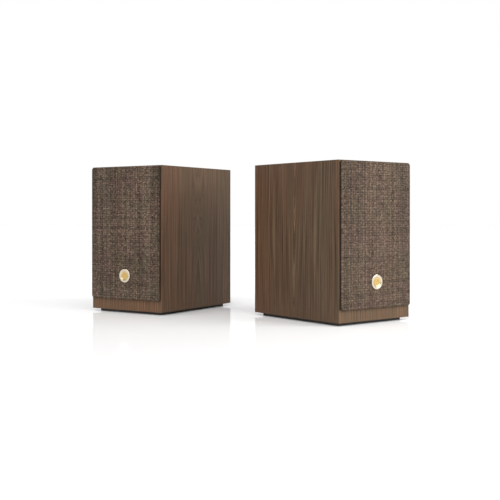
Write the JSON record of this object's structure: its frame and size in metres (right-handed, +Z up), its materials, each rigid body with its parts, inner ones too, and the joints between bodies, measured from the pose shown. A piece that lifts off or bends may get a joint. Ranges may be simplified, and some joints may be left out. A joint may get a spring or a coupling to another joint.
{
  "type": "desktop speaker pair",
  "caption": "Compact two-way desktop speakers in walnut cabinets with tweed cloth grilles, brass badges and inset dark bases.",
  "frame": {"origin": "bottom centre of the pair's bounding box, on the surface that both bases stand on", "axes": "+X to the right of someone facing the pair, along the line that the two speakers are spread on; +Y away from them, towards the backs; +Z up"},
  "size_m": [0.563, 0.4266, 0.265],
  "materials": {
    "walnut_veneer": "satin walnut veneer, straight vertical grain",
    "base_rubber": "dark grey moulded rubber-faced plate",
    "black_board": "fibreboard painted matt black",
    "grille_cloth": "coarse tweed weave in brown and grey",
    "frame_plastic": "black moulded frame",
    "badge_brass": "brushed pale brass with a polished rim",
    "basket_metal": "textured black powder coat",
    "ferrite": "sintered dark grey",
    "zinc_steel": "zinc plated",
    "cone_paper": "coated pulp, matt",
    "surround_rubber": "soft, satin",
    "spider_cloth": "resin-treated yellow cotton",
    "copper_wire": "enamelled copper winding",
    "satin_plastic": "fine moulded texture",
    "gloss_black_plastic": "polished",
    "red_plastic": "moulded, translucent rim",
    "dome_silk": "doped silk",
    "wadding": "white polyester wadding",
    "circuit_board": "solder-masked board with its components",
    "amplifier_plate": "black painted steel",
    "nickel": "nickel plated",
    "wire_sleeve": "flexible insulation"
  },
  "bodies": {
    "right_speaker": {"right_cabinet": "walnut_veneer", "right_base_plate": "base_rubber", "right_front_baffle": "black_board", "right_rear_panel": "black_board", "right_port_tube": "satin_plastic", "right_damping_pad": "wadding", "right_wiring": "wire_sleeve", "right_woofer_basket": "basket_metal", "right_woofer_magnet": "ferrite", "right_woofer_yoke": "zinc_steel", "right_woofer_top_plate": "zinc_steel", "right_woofer_surround": "surround_rubber", "right_woofer_spider": "spider_cloth", "right_tweeter_faceplate": "satin_plastic", "right_tweeter_motor": "zinc_steel", "right_terminal_block": "nickel", "right_amplifier_plate": "amplifier_plate", "right_power_inlet": "satin_plastic", "right_audio_sockets": "nickel", "right_amplifier_board": "circuit_board"},
    "right_grille": {"right_grille_frame": "frame_plastic", "right_grille_cloth": "grille_cloth", "right_grille_badge": "badge_brass"},
    "right_woofer_cone": {"right_woofer_cone": "cone_paper", "right_woofer_dust_cap": "cone_paper", "right_woofer_voice_coil": "copper_wire"},
    "right_tweeter_dome": {"right_tweeter_dome": "dome_silk"},
    "right_red_terminal": {"right_red_terminal": "red_plastic"},
    "right_black_terminal": {"right_black_terminal": "satin_plastic"},
    "right_power_switch": {"right_power_switch": "gloss_black_plastic"},
    "right_pairing_button": {"right_pairing_button": "gloss_black_plastic"},
    "left_speaker": {"left_cabinet": "walnut_veneer", "left_base_plate": "base_rubber", "left_front_baffle": "black_board", "left_rear_panel": "black_board", "left_port_tube": "satin_plastic", "left_damping_pad": "wadding", "left_wiring": "wire_sleeve", "left_woofer_basket": "basket_metal", "left_woofer_magnet": "ferrite", "left_woofer_yoke": "zinc_steel", "left_woofer_top_plate": "zinc_steel", "left_woofer_surround": "surround_rubber", "left_woofer_spider": "spider_cloth", "left_tweeter_faceplate": "satin_plastic", "left_tweeter_motor": "zinc_steel", "left_terminal_block": "nickel", "left_terminal_plate": "satin_plastic", "left_crossover_board": "circuit_board", "left_large_coil": "copper_wire", "left_small_coil": "copper_wire"},
    "left_grille": {"left_grille_frame": "frame_plastic", "left_grille_cloth": "grille_cloth", "left_grille_badge": "badge_brass"},
    "left_woofer_cone": {"left_woofer_cone": "cone_paper", "left_woofer_dust_cap": "cone_paper", "left_woofer_voice_coil": "copper_wire"},
    "left_tweeter_dome": {"left_tweeter_dome": "dome_silk"},
    "left_red_terminal": {"left_red_terminal": "red_plastic"},
    "left_black_terminal": {"left_black_terminal": "satin_plastic"}
  },
  "joints": [
    {"name": "left_speaker_spacing", "type": "slide", "parent": "right_speaker", "child": "left_speaker", "axis": [-1, 0, 0], "range_m": [0, 0.3]},
    {"name": "right_grille_pull", "type": "slide", "parent": "right_speaker", "child": "right_grille", "axis": [0.6115, -0.7912, 0], "range_m": [0, 0.14]},
    {"name": "right_woofer_stroke", "type": "slide", "parent": "right_speaker", "child": "right_woofer_cone", "axis": [0.6115, -0.7912, 0], "range_m": [-0.0035, 0.0035], "stiffness_N_per_m": 900, "deforming": ["right_woofer_surround", "right_woofer_spider"]},
    {"name": "right_tweeter_stroke", "type": "slide", "parent": "right_speaker", "child": "right_tweeter_dome", "axis": [0.6115, -0.7912, 0], "range_m": [-0.0004, 0.0004], "stiffness_N_per_m": 900},
    {"name": "right_red_terminal_turn", "type": "hinge", "parent": "right_speaker", "child": "right_red_terminal", "pos_m": [0.0633, 0.006, 0.057], "axis": [-0.6115, 0.7912, 0], "range_deg": [0, 1080]},
    {"name": "right_black_terminal_turn", "type": "hinge", "parent": "right_speaker", "child": "right_black_terminal", "pos_m": [0.04826, -0.00562, 0.057], "axis": [-0.6115, 0.7912, 0], "range_deg": [0, 1080]},
    {"name": "left_grille_pull", "type": "slide", "parent": "left_speaker", "child": "left_grille", "axis": [-0.5432, -0.8396, 0], "range_m": [0, 0.14]},
    {"name": "left_woofer_stroke", "type": "slide", "parent": "left_speaker", "child": "left_woofer_cone", "axis": [-0.5432, -0.8396, 0], "range_m": [-0.0035, 0.0035], "stiffness_N_per_m": 900, "deforming": ["left_woofer_surround", "left_woofer_spider"]},
    {"name": "left_tweeter_stroke", "type": "slide", "parent": "left_speaker", "child": "left_tweeter_dome", "axis": [-0.5432, -0.8396, 0], "range_m": [-0.0004, 0.0004], "stiffness_N_per_m": 900},
    {"name": "left_red_terminal_turn", "type": "hinge", "parent": "left_speaker", "child": "left_red_terminal", "pos_m": [-0.08183, 0.17233, 0.082], "axis": [0.5432, 0.8396, 0], "range_deg": [0, 1080]},
    {"name": "left_black_terminal_turn", "type": "hinge", "parent": "left_speaker", "child": "left_black_terminal", "pos_m": [-0.09778, 0.18266, 0.082], "axis": [0.5432, 0.8396, 0], "range_deg": [0, 1080]},
    {"name": "right_power_rocker", "type": "hinge", "parent": "right_speaker", "child": "right_power_switch", "pos_m": [0.09032, 0.01437, 0.057], "axis": [0.7912, 0.6115, 0], "range_deg": [-14, 0]},
    {"name": "right_pairing_press", "type": "slide", "parent": "right_speaker", "child": "right_pairing_button", "axis": [0.6115, -0.7912, 0], "range_m": [0, 0.0012], "stiffness_N_per_m": 800}
  ]
}
